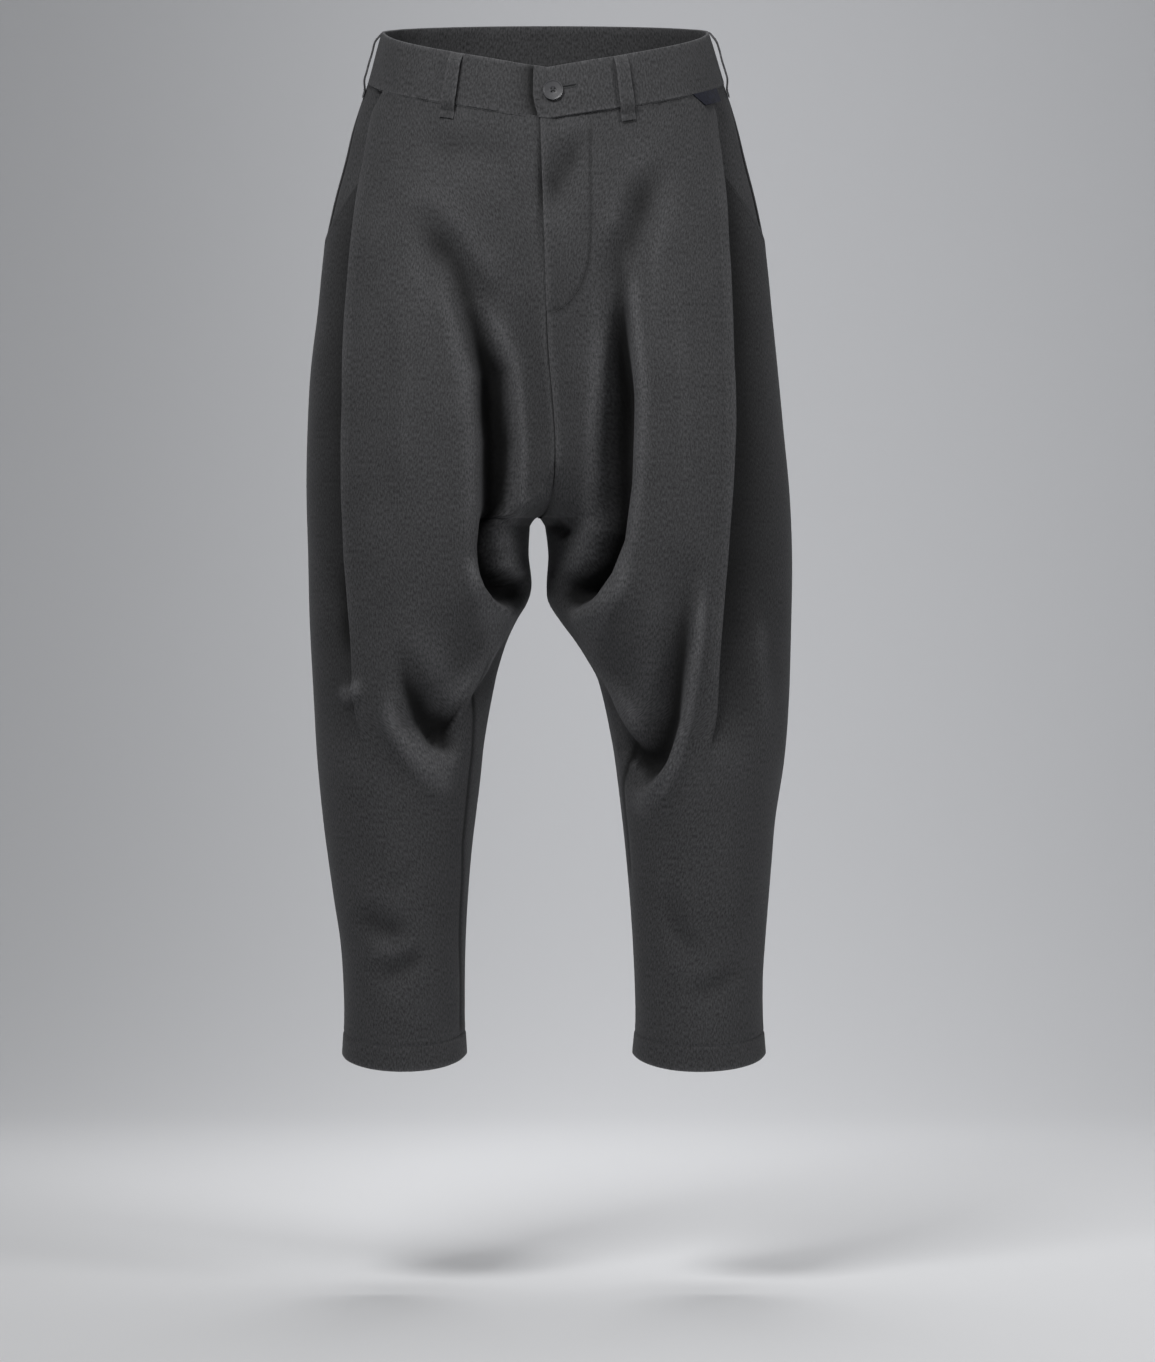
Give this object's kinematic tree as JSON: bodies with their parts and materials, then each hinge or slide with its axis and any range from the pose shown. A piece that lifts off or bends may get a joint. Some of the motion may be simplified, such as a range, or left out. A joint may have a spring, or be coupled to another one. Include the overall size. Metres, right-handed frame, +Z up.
{
  "type": "harem pants",
  "caption": "Hollow worn-form harem pants with a low dropped crotch, side pleats, slant pockets, a buttoned waistband with belt loops, and tapered legs open at the hems.",
  "frame": {"origin": "middle of the waist opening, level with the top edge of the waistband at the centre front", "axes": "+Z up along the body, -Y to the garment's front, +X to the wearer's left"},
  "size_m": [0.4367, 0.2734, 0.9461],
  "materials": {
    "cloth": "matte charcoal twill with a soft sheen on its ridges",
    "label": "dark woven tape",
    "button": "dark satin horn-like plastic"
  },
  "bodies": {
    "root": {"front_right": "cloth", "back_right": "cloth", "front_left": "cloth", "back_left": "cloth", "pocket_facing_right": "cloth", "pocket_facing_left": "cloth", "waistband": "cloth", "belt_loop_front_right": "cloth", "belt_loop_front_left": "cloth", "belt_loop_side_right": "cloth", "belt_loop_side_left": "cloth", "belt_loop_back": "cloth", "fly_lap": "cloth", "label_tab": "label", "button": "button"}
  },
  "joints": []
}
